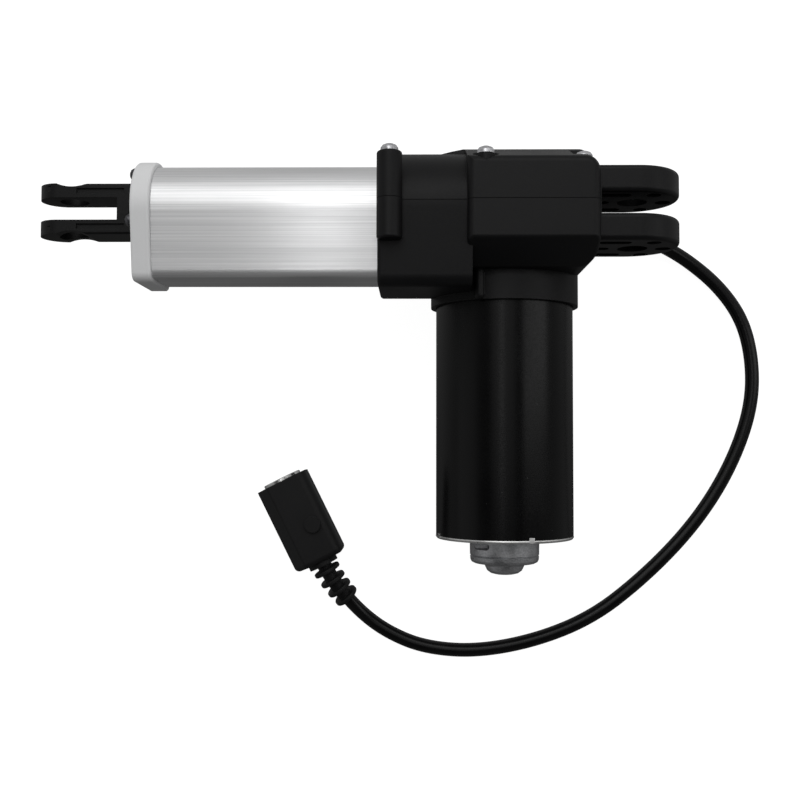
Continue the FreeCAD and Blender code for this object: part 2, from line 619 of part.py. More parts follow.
def fork_head():
    arms = block("fork_arms", ("fork_tip + fork_half", "fork_root"), ("-fork_out", "fork_out"),
                 ("-fork_half", "fork_half"))
    tip = cylinder("fork_tip_round", "Y", ("fork_tip + fork_half", "-fork_out", "0"),
                   "fork_out * 2", "fork_half")
    spigot = turned("fork_spigot", ("0", "0", "0"), [
        ("fork_root - 1", "0"), ("fork_root - 1", "rod_in"), ("fork_root", "fork_collar"),
        ("fork_collar_back", "fork_collar"), ("fork_collar_back", "rod_in - gap"),
        ("spigot_end - 1", "rod_in - gap"), ("spigot_end", "rod_in - 1"), ("spigot_end", "0"),
    ])
    cuts = [
        block("fork_slot", ("fork_tip - 1", "fork_slot_x"), ("-fork_in", "fork_in"),
              ("-fork_half - 1", "fork_half + 1")),
        cylinder("fork_bore", "Y", ("fork_hole_x", "-20", "0"), "40", "fork_hole"),
        cylinder("fork_pin_way", "Y", ("fork_pin_x", "-12", "0"), "24", "fork_pin + press"),
    ]
    for mark, side in (("top", 1), ("bottom", -1)):
        cuts.append(cylinder(f"fork_dish_{mark}", "Z",
                             ("fork_hole_x + 1.4", f"{side} * (fork_out + fork_dish_rise)",
                              "-12"), "24", "fork_dish"))
        panel = f"{side} * (fork_in + 2.8)"
        eye = f"{side} * (fork_out - 2.2)"
        for face, heights in (("near", ("fork_half - 0.9", "12")),
                              ("far", ("-12", "0.9 - fork_half"))):
            cuts.append(block(f"fork_panel_{mark}_{face}",
                              ("fork_hole_x + 3.5", "fork_slot_x + 3"),
                              (f"{panel} - 1.1", f"{panel} + 1.1"), heights))
            cuts.append(block(f"fork_eye_{mark}_{face}", ("fork_tip + 4.2", "fork_tip + 6.6"),
                              (f"{eye} - 1.1", f"{eye} + 1.1"), heights))
    whole = cut("fork_cut", fuse("fork_form", arms, tip, spigot), *cuts)
    document.recompute()
    rounded = document.addObject("Part::Fillet", "fork_rounded")
    rounded.Base = whole
    picked = []
    for index, edge in enumerate(whole.Shape.Edges, start=1):
        centre = middle(edge)
        along_arm = runs_along(edge, ALONG_X) and abs(abs(centre.z) - dim("fork_half")) < 0.01
        if along_arm and abs(abs(centre.y) - dim("fork_out")) < 0.01:
            picked.append((index, 0.9, 0.9))
    rounded.Edges = picked
    piece(rounded, "fork_head")


def push_rod():
    tube = turned("push_blank", ("0", "0", "0"), [
        ("fork_collar_back", "rod_in"), ("fork_collar_back", "rod_out"),
        ("rod_back", "rod_out"), ("rod_back", "rod_in"),
    ])
    way = cylinder("push_pin_way", "Y", ("fork_pin_x", "-12", "0"), "24", "fork_pin + press")
    piece(cut("push_drilled", tube, way), "push_tube")
    reach = "rod_out - 0.3"
    piece(turned("cross_pin", ("fork_pin_x", "0", "0"), [
        (f"-({reach})", "0"), (f"-({reach})", "fork_pin - 0.4"), (f"0.4 - ({reach})", "fork_pin"),
        (f"{reach} - 0.4", "fork_pin"), (reach, "fork_pin - 0.4"), (reach, "0"),
    ], ABOUT_Y), "fork_pin")
    ring = turned("nut_round", ("0", "0", "0"), [
        ("nut_front", "thread_rad + gap"), ("nut_front", "rod_in - 0.4"),
        ("rod_back", "rod_in - 0.4"), ("rod_back", "rod_out + press"),
        ("nut_front", "rod_out + press"), ("nut_front", "nut_rad - 0.8"),
        ("nut_front + 0.8", "nut_rad"), ("nut_back", "nut_rad"),
        ("nut_back", "thread_rad + gap"),
    ])
    key = block("nut_key", ("nut_front + 2", "nut_back - 2"), ("key_low", "-10"),
                ("-key_half", "key_half"))
    piece(fuse("nut_keyed", ring, key), "drive_nut")


# ---- spindle --------------------------------------------------------------------------

def threaded(name, base, rotation, core, ridge, pitch, height):
    """A turned core with one helical ridge, along the body's own X axis."""
    body = turned(name, base, core, rotation)
    sketch = new_sketch(body, name + "_ridge", "XY_Plane")
    draw_outline(sketch, ridge)
    document.recompute()
    helix = body.newObject("PartDesign::AdditiveHelix", name + "_thread")
    helix.Profile = sketch
    helix.ReferenceAxis = (sketch, ["H_Axis"])
    helix.Mode = 0
    bind(helix, "Pitch", pitch)
    bind(helix, "Height", height)
    helix.Angle = 0
    body.Tip = helix
    return body


def spindle_set():
    front = "thread_front"
    piece(threaded("spindle_body", ("0", "0", "0"), Rotation(), [
        (front, "0"), (front, "thread_root"), ("thread_back", "thread_root"),
        ("thread_back", "shoulder_rad"), ("shoulder_back", "shoulder_rad"),
        ("shoulder_back", "journal"), ("spindle_back", "journal"), ("spindle_back", "0"),
    ], [
        (f"{front} + 1", "thread_root - 0.3"), (f"{front} + 4.4", "thread_root - 0.3"),
        (f"{front} + 3.6", "thread_rad"), (f"{front} + 1.8", "thread_rad"),
    ], "lead", "thread_back - thread_front - 6"), "spindle")
    piece(turned("end_stop", ("0", "0", "0"), [
        ("thread_front - 3.6", "0"), ("thread_front - 3.6", "3"), ("thread_front - 1.2", "3.4"),
        ("thread_front - 1.2", "7.6"), ("thread_front", "7.6"), ("thread_front", "0"),
    ]), "spindle_end_stop")
    piece(turned("lock_nut", ("0", "0", "0"), [
        ("bearing_back", "journal + press"), ("bearing_back", "8"), ("bearing_back + 1", "9"),
        ("spindle_back - 0.6", "9"), ("spindle_back - 0.6", "journal + press"),
    ]), "spindle_lock_nut")
    wheel()
    bearing()


def wheel():
    """The worm wheel: a hub and a rim with leaning teeth, cut one gap at a time."""
    blank = turned("wheel_blank", ("0", "0", "0"), [
        ("shoulder_back + 0.1", "journal + press"), ("shoulder_back + 0.1", "shoulder_rad"),
        ("wheel_front", "9.5"), ("wheel_front", "wheel_rad"), ("wheel_back", "wheel_rad"),
        ("wheel_back", "9.5"), ("bearing_front", "8"), ("bearing_front", "journal + press"),
    ])
    document.recompute()
    count = int(dim("wheel_teeth"))
    front, back = dim("wheel_front"), dim("wheel_back")
    tip, root = dim("wheel_rad") + 0.5, dim("wheel_root")
    step = 2 * math.pi / count
    tooth_lean = 0.067
    solids = []
    for index in range(count):
        wires = []
        for x, shift in ((front - 0.5, -0.5), ((front + back) / 2, 0), (back + 0.5, 0.5)):
            turn = step * index + shift * tooth_lean
            corners = [(root, -0.16), (tip, -0.30), (tip, 0.30), (root, 0.16)]
            points = [Vector(x, radius * math.cos(turn + part * step),
                             radius * math.sin(turn + part * step)) for radius, part in corners]
            wires.append(Part.makePolygon(points + points[:1]))
        solids.append(Part.makeLoft(wires, True, True))
    gear = document.addObject("Part::Feature", "wheel_toothed")
    gear.Shape = blank.Shape.cut(solids)
    gear.Placement = Placement()
    piece(gear, "worm_wheel")


def bearing():
    front, back = "bearing_front + gap", "bearing_back - gap"
    groove = "(bearing_front + bearing_back) / 2"
    rings = [("bearing_inner", "bearing_in + press", "ball_ring - 1.6", "bearing_inner_ring", -1),
             ("bearing_outer", "bearing_out", "ball_ring + 1.6", "bearing_outer_ring", 1)]
    for name, bore, face, label, side in rings:
        deep = f"{face} + {side} * 1.36"
        piece(turned(name, ("0", "0", "0"), [
            (front, bore), (front, face), (f"{groove} - 2.4", face), (f"{groove} - 1.2", deep),
            (f"{groove} + 1.2", deep), (f"{groove} + 2.4", face), (back, face), (back, bore),
        ]), label)
    balls = []
    for index in range(8):
        angle = 2 * math.pi * index / 8
        balls.append(ball(f"ball{index}", (groove, f"ball_ring * {math.cos(angle):.4f}",
                                           f"ball_ring * {math.sin(angle):.4f}"),
                          "ball_rad"))
    piece(group("ball_set", balls), "bearing_balls")


# ---- motor ----------------------------------------------------------------------------

MOTOR = ("motor_x", "0", "motor_z")


def motor_shell():
    can = turned("can", MOTOR, [
        ("can_end", "can_rad"), ("can_top - 1.2", "can_rad"), ("can_top", "can_rad - 1.2"),
        ("can_top", "8"), ("can_top + 4", "8"), ("can_top + 4", "motor_bush"),
        ("can_top - can_wall", "motor_bush"), ("can_top - can_wall", "can_rad - can_wall"),
        ("can_end", "can_rad - can_wall"),
    ], ABOUT_Y)
    ways = [cylinder(f"can_screw_way_{mark}", "Y", ("motor_x", "can_top - 3", side), "5",
                     "motor_screw + gap") for mark, side in MOTOR_SCREWS]
    piece(cut("can_drilled", can, *ways), "motor_can")
    plate = turned("end_plate_disc", MOTOR, [
        ("can_end", "0"), ("can_end", "can_rad"), ("can_end - 0.5", "can_rad + 0.15"),
        ("plate_low", "can_rad - 0.4"), ("plate_low", "0"),
    ], ABOUT_Y)
    seat = cylinder("end_plate_bore", "Y", ("motor_x", "plate_low - 1", "motor_z"), "4", "7.5")
    tabs = []
    for index, angle in enumerate((73, 163, 253, 343)):
        sine, cosine = math.sin(math.radians(angle)), math.cos(math.radians(angle))
        tab = block(f"tab{index}", ("0", "2.4"), ("plate_low + 0.3", "can_end + 1.2"),
                    ("0", "0.35"))
        place(tab, (f"motor_x - 1.2 * {sine:.4f} + can_rad * {cosine:.4f}", "plate_low + 0.3",
                    f"motor_z + 1.2 * {cosine:.4f} + can_rad * {sine:.4f}"),
              Rotation(Vector(0, 1, 0), 90 - angle))
        tabs.append(tab)
    plate_form = fuse("end_plate_tabbed", plate, *tabs)
    piece(cut("end_plate_cut", plate_form, seat), "motor_end_plate")
    boss = turned("end_boss", MOTOR, [
        ("plate_low", "low_bush"), ("plate_low", "end_boss_rad"),
        ("plate_low - 7.1", "end_boss_rad - 0.1"), ("plate_low - 7.5", "end_boss_rad - 0.5"),
        ("plate_low - 7.9", "end_boss_rad - 0.15"), ("end_boss_low + 1.4", "end_boss_rad - 0.3"),
        ("end_boss_low + 0.5", "end_boss_rad - 0.8"), ("end_boss_low", "end_boss_rad - 1.8"),
        ("end_boss_low", "end_step_rad + 1.4"), ("end_boss_low - 1.2", "end_step_rad"),
        ("end_step_low + 3.2", "end_step_rad - 0.2"), ("end_step_low + 1.6", "end_step_rad - 1"),
        ("end_step_low + 0.5", "end_step_rad - 2.5"), ("end_step_low", "end_step_rad - 4.5"),
        ("end_step_low", "0"),
        ("shaft_low - 1", "0"), ("shaft_low - 1", "low_bush"),
    ], ABOUT_Y)
    notches = []
    for mark, side, depth in (("near", -1, "motor_z + 3"), ("far", 1, "motor_z - 16")):
        ends = [f"motor_x + {side} * 8.9", f"motor_x + {side} * 12.4"]
        for end, across in enumerate(ends):
            notches.append(cylinder(f"boss_notch_{mark}{end}", "Z",
                                    (across, "plate_low - 3", depth), "13", "1.4"))
        notches.append(block(f"boss_notch_{mark}", sorted(ends, key=value_of),
                             ("plate_low - 4.4", "plate_low - 1.6"), (depth, f"{depth} + 13")))
    piece(cut("end_boss_cut", boss, *notches), "motor_end_boss")
    piece(turned("collar_gasket", MOTOR, [
        ("ring_low + 0.4", "can_rad + press"), ("ring_low + 0.4", "ring_bore"),
        ("ring_low + 2.4", "ring_bore"), ("ring_low + 2.4", "can_rad + press"),
    ], ABOUT_Y), "collar_seal")
    screws = [pan_screw(f"motor_screw_{mark}", ("motor_x", "case_belly + case_wall", side),
                        ABOUT_Y, "motor_screw", "2.8", "2.2", "10.2")
              for mark, side in MOTOR_SCREWS]
    piece(group("motor_screw_set", screws), "motor_screws")


def motor_inside():
    magnet_out = "can_rad - can_wall"
    tube = turned("magnet_tube", MOTOR, [
        ("core_low - 3", "magnet_in"), ("core_low - 3", magnet_out),
        ("core_top + 3", magnet_out), ("core_top + 3", "magnet_in"),
    ], ABOUT_Y)
    split = block("magnet_split", ("motor_x - 8", "motor_x + 8"),
                  ("core_low - 10", "core_top + 10"), ("motor_z - 40", "motor_z + 40"))
    piece(cut("magnet_pair", tube, split), "magnets")
    rim = "can_rad - can_wall - gap"
    piece(turned("brush_ring", MOTOR, [
        ("card_low", "11"), ("card_low", rim), ("card_top", rim), ("card_top", "11"),
    ], ABOUT_Y), "brush_card")
    contact = "commutator_rad + 0.1"
    sides = [(f"motor_x + {contact}", "motor_x + 17"), ("motor_x - 17", f"motor_x - ({contact})")]
    brushes = [block(f"brush{index}", side, ("card_top", "brush_top"),
                     ("motor_z - 2.5", "motor_z + 2.5")) for index, side in enumerate(sides)]
    piece(group("brush_pair", brushes), "brushes")
    for name, low, high, outer, label in (
            ("bush_low", "shaft_low - 0.8", "plate_low", "low_bush", "rear_motor_bush"),
            ("bush_front", "can_top - can_wall", "can_top + 4", "motor_bush",
             "front_motor_bush"),
            ("bush_tip", "shaft_top - 6.4", "shaft_top + 0.4", "motor_bush",
             "worm_tip_bush")):
        piece(turned(name, MOTOR, [
            (low, "shaft_rad + gap"), (low, outer), (high, outer), (high, "shaft_rad + gap"),
        ], ABOUT_Y), label)


def rotor():
    piece(turned("shaft", MOTOR, [
        ("shaft_low", "0"), ("shaft_low", "shaft_rad - 0.4"), ("shaft_low + 0.6", "shaft_rad"),
        ("shaft_top - 0.6", "shaft_rad"), ("shaft_top", "shaft_rad - 0.6"), ("shaft_top", "0"),
    ], ABOUT_Y), "armature_shaft")
    piece(threaded("worm_body", MOTOR, ABOUT_Y, [
        ("-worm_high - 2", "shaft_rad + 0.01"), ("-worm_high - 2", "worm_root"),
        ("worm_high - 0.1", "worm_root"), ("worm_high - 0.1", "shaft_rad + 0.01"),
    ], [
        ("-worm_high", "worm_root - 0.3"), ("-worm_high + 2.6", "worm_root - 0.3"),
        ("-worm_high + 1.7", "worm_rad"), ("-worm_high + 0.9", "worm_rad"),
    ], "worm_pitch", "worm_high * 2 - 3.4"), "worm")
    piece(laminations(), "armature_core")
    end_rings = [turned(f"winding_{mark}", MOTOR, [
        (low, "shaft_rad + 1"), (low, "core_rad - 4"), (f"({low} + {high}) / 2", "core_rad - 2"),
        (high, "core_rad - 4"), (high, "shaft_rad + 1"),
    ], ABOUT_Y) for mark, low, high in (("top", "core_top", "core_top + 9"),
                                        ("low", "core_low - 9", "core_low"))]
    piece(group("winding_set", end_rings), "armature_windings")
    piece(turned("commutator_body", MOTOR, [
        ("card_low + 1", "shaft_rad + 0.01"), ("card_low + 1", "commutator_rad"),
        ("commutator_top - 1.6", "commutator_rad"),
        ("commutator_top - 1.6", "commutator_rad + 1.4"),
        ("commutator_top", "commutator_rad + 1.4"), ("commutator_top", "shaft_rad + 0.01"),
    ], ABOUT_Y), "commutator")


def laminations():
    """The rotor's stack, with a slot for each coil side."""
    stack = turned("stack_blank", MOTOR, [
        ("core_low", "shaft_rad + 0.01"), ("core_low", "core_rad"), ("core_top", "core_rad"),
        ("core_top", "shaft_rad + 0.01"),
    ], ABOUT_Y)
    slots = []
    count = 10
    for index in range(count):
        angle = 360 / count * index
        slot = block(f"stack_slot{index}", ("-1.3", "1.3"), ("core_low - 1", "core_top + 1"),
                     ("10", "30"))
        cosine, sine = math.cos(math.radians(angle)), math.sin(math.radians(angle))
        place(slot, (f"motor_x + 13 * {cosine:.4f} - 1.3 * {sine:.4f}", "core_low - 1",
                     f"motor_z + 13 * {sine:.4f} + 1.3 * {cosine:.4f}"),
              Rotation(Vector(0, 1, 0), 90 - angle))
        slots.append(slot)
    return cut("stack_slotted", stack, *slots)


# ---- boards ---------------------------------------------------------------------------

def boards():
    piece(block("switch_strip", ("strip_left", "strip_right"), ("strip_low", "strip_top"),
                ("-9", "9")), "limit_switch_board")
    switches = []
    for centre in ("front_switch", "back_switch"):
        case = block(f"{centre}_case", (f"{centre} - 6.4", f"{centre} + 6.4"),
                     ("strip_top", "switch_high"), ("-2.9", "2.9"))
        button = cylinder(f"{centre}_button", "Y", (f"{centre} + 2", "switch_high - 0.5", "0"),
                          "1.3", "1.1")
        switches.append(fuse(f"{centre}_whole", case, button))
    piece(group("switch_pair", switches), "limit_switches")
    piece(block("bay_board", ("-66", "-26.5"), ("-17.5", "13"), ("board_z - 1.6", "board_z")),
          "connection_board")
    barrel = cylinder("choke0", "X", ("-60", "-10", "board_z + 4"), "14", "3.9")
    second = cylinder("choke1", "X", ("-60", "4", "board_z + 4"), "14", "3.9")
    disc = block("capacitor", ("-42", "-36"), ("-14", "-2"), ("board_z + gap", "-41"))
    piece(group("suppressor_set", [barrel, second, disc]), "suppressors")


# ---- cable and connector ----------------------------------------------------------------

def bent_path(points):
    """Straight runs joined by tangent arcs, each as large as its two runs allow."""
    corners = [Vector(*point) for point in points]
    edges, radii, start = [], [], corners[0]
    for before, here, after in zip(corners, corners[1:], corners[2:]):
        inward, outward = (here - before).normalize(), (after - here).normalize()
        half_turn = inward.getAngle(outward) / 2
        shorter = min((here - before).Length, (after - here).Length)
        radius = 0.45 * shorter / math.tan(half_turn)
        first, last = here - inward * (0.45 * shorter), here + outward * (0.45 * shorter)
        bulge = (outward - inward).normalize() * (radius / math.cos(half_turn) - radius)
        if (first - start).Length > 1e-6:
            edges.append(Part.LineSegment(start, first).toShape())
        edges.append(Part.Arc(first, here + bulge, last).toShape())
        radii.append(round(radius, 1))
        start = last
    edges.append(Part.LineSegment(start, corners[-1]).toShape())
    return Part.Wire(edges), radii


def cable():
    path, radii = bent_path(CABLE_ROUTE)
    radius = dim("cable_rad")
    heading = Vector(*CABLE_ROUTE[1]) - Vector(*CABLE_ROUTE[0])
    section = Part.Wire(Part.makeCircle(radius, Vector(*CABLE_ROUTE[0]), heading))
    tube = document.addObject("Part::Feature", "cable_tube")
    tube.Shape = path.makePipeShell([section], True, False)
    tube.Placement = Placement()
    expected = math.pi * radius ** 2 * path.Length
    print("cable arc radii", radii)
    print("cable length", round(path.Length, 1), "volume ratio",
          round(tube.Shape.Volume / expected, 4))
    piece(tube, "power_cable")
    root = ("0", "0", "exit_z")
    bore = "cable_rad + press"
    inside = "case_right - bay_wall"
    piece(turned("grommet", root, [
        (f"{inside} - 1.8", bore), (f"{inside} - 1.8", "6.5"), (f"{inside} + 0.2", "6.5"),
        (f"{inside} + 0.2", "5"), ("case_right + 0.2", "5"), ("case_right + 0.2", "5.6"),
        ("case_right + 2", "5.6"), ("exit_x - 1", "3.9"), ("exit_x", "3.7"), ("exit_x", bore),
    ]), "cable_grommet")
    piece(cylinder("cable_stub", "X", ("case_right - 8", "0", "exit_z"),
                   "exit_x - case_right + 8", "cable_rad"), "cable_inner_end")


def plug():
    turn = Rotation(Vector(0, 0, 1), dim("plug_angle"))
    rear = ("plug_rear_x", "plug_rear_y", "plug_z")
    flat = "plug_left - plug_chamfer"
    body = prism("plug_block", "X", rear, [
        ("plug_left", "plug_side"), (flat, "plug_high"), ("plug_right", "plug_high"),
        ("plug_right", "-plug_high"), (flat, "-plug_high"), ("plug_left", "-plug_side"),
    ], "plug_long", turn)
    round_edges(body, "4", lambda edge: (
        runs_along(edge, ALONG_X) and abs(middle(edge).y - dim("plug_right")) < 0.01))
    round_edges(body, "1.5", lambda edge: (
        runs_along(edge, ALONG_X) and middle(edge).y > 0))
    round_edges(body, "2.4", lambda edge: abs(edge.BoundBox.XMax) < 0.01)
    along, across = value_of("button_along"), value_of("button_across")
    knob = body.newObject("Sketcher::SketchObject", "plug_button_outline")
    knob.AttachmentSupport = [(origin_plane(body, "XY_Plane"), "")]
    knob.MapMode = "FlatFace"
    knob.addGeometry(Part.Circle(Vector(along, across, 0), ALONG_Z, dim("button_rad")))
    rule = knob.addConstraint(Sketcher.Constraint("Radius", 0, dim("button_rad")))
    knob.setExpression(f"Constraints[{rule}]", formula("button_rad"))
    pad = body.newObject("PartDesign::Pad", "plug_button")
    pad.Profile = knob
    bind(pad, "Length", "plug_high + button_high")
    body.Tip = pad
    bore = body.newObject("Sketcher::SketchObject", "plug_bore_outline")
    bore.AttachmentSupport = [(origin_plane(body, "YZ_Plane"), "")]
    bore.MapMode = "FlatFace"
    bore.addGeometry(Part.Circle(Vector(0, 0, 0), ALONG_Z, dim("shield_rad")))
    index = bore.addConstraint(Sketcher.Constraint("Radius", 0, dim("shield_rad")))
    bore.setExpression(f"Constraints[{index}]", formula("shield_rad + press"))
    bore.AttachmentOffset = Placement(Vector(0, 0, value_of("plug_long - 26")), Rotation())
    hollow = body.newObject("PartDesign::Pocket", "plug_bore")
    hollow.Profile = bore
    hollow.Length = 30
    hollow.Reversed = True
    body.Tip = hollow
    piece(body, "plug_body")
    inner = "shield_rad - 0.6"
    piece(turned("shield", rear, [
        ("plug_long - 18", inner), ("plug_long - 18", "shield_rad"),
        ("plug_long + 1.1", "shield_rad"), ("plug_long + 1.4", "shield_rad - 0.3"),
        ("plug_long + 1.1", inner),
    ], turn), "plug_shield")
    floor = "plug_long - plug_depth"
    insert = turned("insert_blank", rear, [
        ("plug_long - 26", "0"), ("plug_long - 26", f"{inner} - press"),
        (floor, f"{inner} - press"), (floor, "0"),
    ], turn)
    document.recompute()
    ways, contacts = [], []
    ahead = turn.multVec(ALONG_X)
    origin = Vector(*(value_of(text) for text in rear))
    for index in range(5):
        angle = math.radians(-90 + 45 * index)
        offset = turn.multVec(Vector(0, 5 * math.cos(angle), 5 * math.sin(angle)))
        start = origin + offset + ahead * (value_of(floor) - 12)
        ways.append(Part.makeCylinder(1.3, 13, start, ahead))
        sleeve = Part.makeCylinder(1.28, 11.6, start, ahead)
        contacts.append(sleeve.cut(Part.makeCylinder(0.75, 10, start + ahead * 2, ahead)))
    drilled = document.addObject("Part::Feature", "insert_drilled")
    drilled.Shape = insert.Shape.cut(ways)
    drilled.Placement = Placement()
    piece(drilled, "plug_insert")
    sleeves = document.addObject("Part::Feature", "contact_set")
    sleeves.Shape = Part.makeCompound(contacts)
    sleeves.Placement = Placement()
    piece(sleeves, "plug_contacts")
    strain_relief(origin, turn.multVec(Vector(-1, 0, 0)))


def strain_relief(start, heading):
    """A sleeve with ring fins on one arc, from the connector's rear to the cable's end."""
    end = Vector(*CABLE_ROUTE[-1])
    chord = end - start
    lean = heading.getAngle(chord)
    radius = chord.Length / (2 * math.sin(lean))
    sideways = (heading - chord * (heading.dot(chord) / chord.dot(chord))).normalize()
    top = start + chord / 2 + sideways * (radius * (1 - math.cos(lean)))
    axis = Part.Arc(start, top, end).toShape()
    first, last = axis.ParameterRange
    section = Part.Wire(Part.makeCircle(3.4, start, heading))
    sleeve = Part.Wire(axis).makePipeShell([section], True, False)
    rings = [Part.makeCylinder(6.9, 2.2, start, heading)]
    fins = 4
    for index in range(fins):
        share = (5.0 + 5.05 * index) / axis.Length
        spot = first + (last - first) * share
        wide = 6.3 - 0.15 * index
        tangent = axis.tangentAt(spot)
        fin = Part.makeCylinder(wide, 2, axis.valueAt(spot) - tangent, tangent)
        rims = [edge for edge in fin.Edges if edge.Curve.TypeId == "Part::GeomCircle"]
        rings.append(fin.makeFillet(0.6, rims))
    relief = document.addObject("Part::Feature", "relief_solid")
    relief.Shape = sleeve.fuse(rings).removeSplitter()
    relief.Placement = Placement()
    piece(relief, "plug_strain_relief")


# ---- build, test and write --------------------------------------------------------------

def write_pieces():
    document.recompute()
    for item in document.Objects:
        faults = [state for state in item.State if state in ("Invalid", "Error")]
        if faults:
            raise RuntimeError(f"{item.Name} failed: {faults}")
    os.makedirs("parts", exist_ok=True)
    for item in pieces:
        shape = item.Shape
        if shape.isNull() or not shape.isValid():
            raise RuntimeError(f"{item.Label} has no valid shape")
        print(f"{item.Label:22s} solids {len(shape.Solids):2d} volume {shape.Volume:10.1f}")
        shape.exportStep(f"parts/{item.Label}.step")


housing()
housing_screws()
rear_clevis()
tube_profile()
end_cap()
bush_and_wiper()
fork_head()
push_rod()
spindle_set()
motor_shell()
motor_inside()
rotor()
boards()
cable()
plug()
write_pieces()
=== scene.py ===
import json
import math

import bpy
from mathutils import Matrix, Vector


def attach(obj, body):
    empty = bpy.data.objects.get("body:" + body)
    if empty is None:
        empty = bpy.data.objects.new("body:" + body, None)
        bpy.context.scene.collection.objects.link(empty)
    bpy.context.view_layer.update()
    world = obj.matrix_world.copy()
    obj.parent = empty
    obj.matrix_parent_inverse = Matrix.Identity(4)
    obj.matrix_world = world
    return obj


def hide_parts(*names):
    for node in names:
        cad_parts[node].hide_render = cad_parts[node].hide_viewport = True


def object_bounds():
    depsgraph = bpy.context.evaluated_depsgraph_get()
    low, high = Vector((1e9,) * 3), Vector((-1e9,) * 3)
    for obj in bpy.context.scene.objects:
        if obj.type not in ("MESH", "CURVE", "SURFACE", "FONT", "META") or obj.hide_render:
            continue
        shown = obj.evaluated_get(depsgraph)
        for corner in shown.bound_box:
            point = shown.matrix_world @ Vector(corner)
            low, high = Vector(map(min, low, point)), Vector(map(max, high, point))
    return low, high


# A linear actuator on a pale floor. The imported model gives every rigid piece; this script
# adds the camera, the light, the cable and a procedural finish for each material slot.

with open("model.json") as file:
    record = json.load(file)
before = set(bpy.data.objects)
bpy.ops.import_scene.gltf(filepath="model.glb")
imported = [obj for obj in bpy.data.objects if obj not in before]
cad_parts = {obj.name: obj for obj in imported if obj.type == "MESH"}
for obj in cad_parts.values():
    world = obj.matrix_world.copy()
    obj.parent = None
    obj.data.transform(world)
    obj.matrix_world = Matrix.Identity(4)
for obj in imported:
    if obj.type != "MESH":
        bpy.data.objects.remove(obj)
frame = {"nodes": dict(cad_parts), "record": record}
cad_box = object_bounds()
scene = bpy.context.scene
MM = 0.001
FLOOR_Z = cad_box[0].z


# ---- camera ----------------------------------------------------------------------------

CAMERA_LENS = 45.36
CAMERA_PLACE = (-90.49, -96.36, 421.12)
CAMERA_ANGLES = (0.909, 2.377, 0.126)


def make_camera():
    """Looks down on the actuator from a little over 0.4 m, slightly from the motor's side."""
    data = bpy.data.cameras.new("camera")
    data.lens = CAMERA_LENS
    data.sensor_width = 36
    camera = bpy.data.objects.new("camera", data)
    scene.collection.objects.link(camera)
    yaw, pitch, roll = (math.radians(angle) for angle in CAMERA_ANGLES)
    turn = (Matrix.Rotation(yaw, 4, "Y") @ Matrix.Rotation(pitch, 4, "X")
            @ Matrix.Rotation(roll, 4, "Z"))
    camera.matrix_world = Matrix.Translation(Vector(CAMERA_PLACE) * MM) @ turn
    scene.camera = camera


# ---- node helpers ----------------------------------------------------------------------

# How far the rounded normal has to agree with the real one for an edge to count in full.
EDGE_LEAN = 1.0 - 1.0 / 6.0

# The Mix node's sockets for colours: share, first colour, second colour, and its result.
MIX_SHARE, MIX_FIRST, MIX_SECOND, MIX_RESULT = 0, 6, 7, 2


class Finish:
    """A procedural material: one Principled shader and the nodes that feed it."""

    def __init__(self, name, **sockets):
        self.material = bpy.data.materials.new(name)
        self.material.use_nodes = True
        self.tree = self.material.node_tree
        self.shader = self.tree.nodes["Principled BSDF"]
        for socket, value in sockets.items():
            self.shader.inputs[socket.replace("_", " ")].default_value = value
        self.spot = self.node("ShaderNodeTexCoord").outputs["Object"]

    def node(self, kind, inputs=(), **settings):
        item = self.tree.nodes.new(kind)
        for setting, value in settings.items():
            setattr(item, setting, value)
        for socket, value in dict(inputs).items():
            self.feed(item.inputs[socket], value)
        return item

    def feed(self, socket, value):
        if isinstance(value, bpy.types.NodeSocket):
            self.tree.links.new(value, socket)
        else:
            socket.default_value = value

    def drive(self, socket, value):
        self.feed(self.shader.inputs[socket], value)

    def driver(self, socket):
        """What feeds one of the shader's sockets so far."""
        return self.shader.inputs[socket].links[0].from_socket

    def stretched(self, scale):
        """The surface's own place, scaled along each axis."""
        return self.node("ShaderNodeMapping", {"Vector": self.spot,
                                               "Scale": scale}).outputs["Vector"]

    def noise(self, scale, detail, spot=None):
        """Noise from 0 to 1; scale is in features per metre."""
        return self.node("ShaderNodeTexNoise", {
            "Vector": spot or self.spot, "Scale": scale, "Detail": detail}).outputs["Fac"]

    def spread(self, value, low, high, to_low=0.0, to_high=1.0):
        """Maps a value from one range to another, clamped."""
        return self.node("ShaderNodeMapRange", {
            "Value": value, "From Min": low, "From Max": high, "To Min": to_low,
            "To Max": to_high}).outputs["Result"]

    def combine(self, first, second, kind="ADD"):
        """One maths step on two values: their sum, or what kind says."""
        return self.node("ShaderNodeMath", {0: first, 1: second}, operation=kind).outputs[0]

    def mix(self, share, first, second):
        """A colour between two, by a share."""
        item = self.node("ShaderNodeMix", data_type="RGBA")
        self.feed(item.inputs[MIX_SHARE], share)
        self.feed(item.inputs[MIX_FIRST], first)
        self.feed(item.inputs[MIX_SECOND], second)
        return item.outputs[MIX_RESULT]

    def rounded(self, radius):
        """The normal with its sharp edges rounded by a radius."""
        return self.node("ShaderNodeBevel", {"Radius": radius}, samples=4).outputs["Normal"]

    def edges(self, radius):
        """1 along sharp edges, where the rounded normal leans away, and 0 on open faces."""
        normal = self.node("ShaderNodeNewGeometry").outputs["Normal"]
        along = self.node("ShaderNodeVectorMath", {0: self.rounded(radius), 1: normal},
                          operation="DOT_PRODUCT").outputs["Value"]
        return self.spread(along, 1.0, EDGE_LEAN)

    def relief(self, height, distance, strength=1.0, normal=None):
        """A normal from a height; distance is in metres."""
        inputs = {"Height": height, "Distance": distance, "Strength": strength}
        if normal is not None:
            inputs["Normal"] = normal
        return self.node("ShaderNodeBump", inputs).outputs["Normal"]


